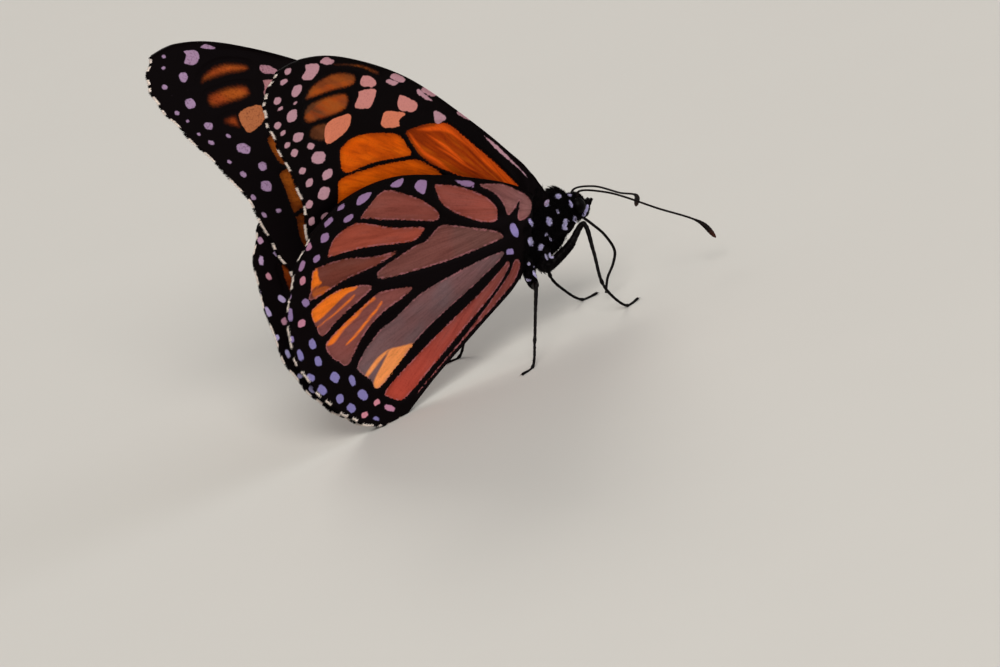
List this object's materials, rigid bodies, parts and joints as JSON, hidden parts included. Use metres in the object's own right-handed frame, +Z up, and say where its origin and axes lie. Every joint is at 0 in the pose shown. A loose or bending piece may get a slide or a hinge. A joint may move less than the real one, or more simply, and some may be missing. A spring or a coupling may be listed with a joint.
{
  "type": "monarch butterfly",
  "caption": "Life-size still model of a monarch butterfly standing with raised, part-open wings, long clubbed feelers and an extended feeding tube.",
  "frame": {"origin": "on the floor, under the middle of the model's box", "axes": "+X towards the head, +Y towards the butterfly's left, +Z up; the wing hinges lie along X"},
  "size_m": [0.0588, 0.0302, 0.0513],
  "materials": {
    "fur": "matt black hair with bluish white spots",
    "forewing": "fine scales, orange between black veins, with white spots on a black border",
    "hindwing": "fine scales, dusky salmon outside and orange inside between black veins",
    "eye": "glossy, finely faceted",
    "limb": "black, finely scaled"
  },
  "bodies": {
    "root": {"head": "fur", "thorax": "fur", "abdomen": "fur", "proboscis": "limb", "forewing_l": "forewing", "hindwing_l": "hindwing", "eye_l": "eye", "antenna_l": "limb", "palp_l": "fur", "foreleg_l": "limb", "midleg_l": "limb", "hindleg_l": "limb", "forewing_r": "forewing", "hindwing_r": "hindwing", "eye_r": "eye", "antenna_r": "limb", "palp_r": "fur", "foreleg_r": "limb", "midleg_r": "limb", "hindleg_r": "limb"}
  },
  "joints": []
}
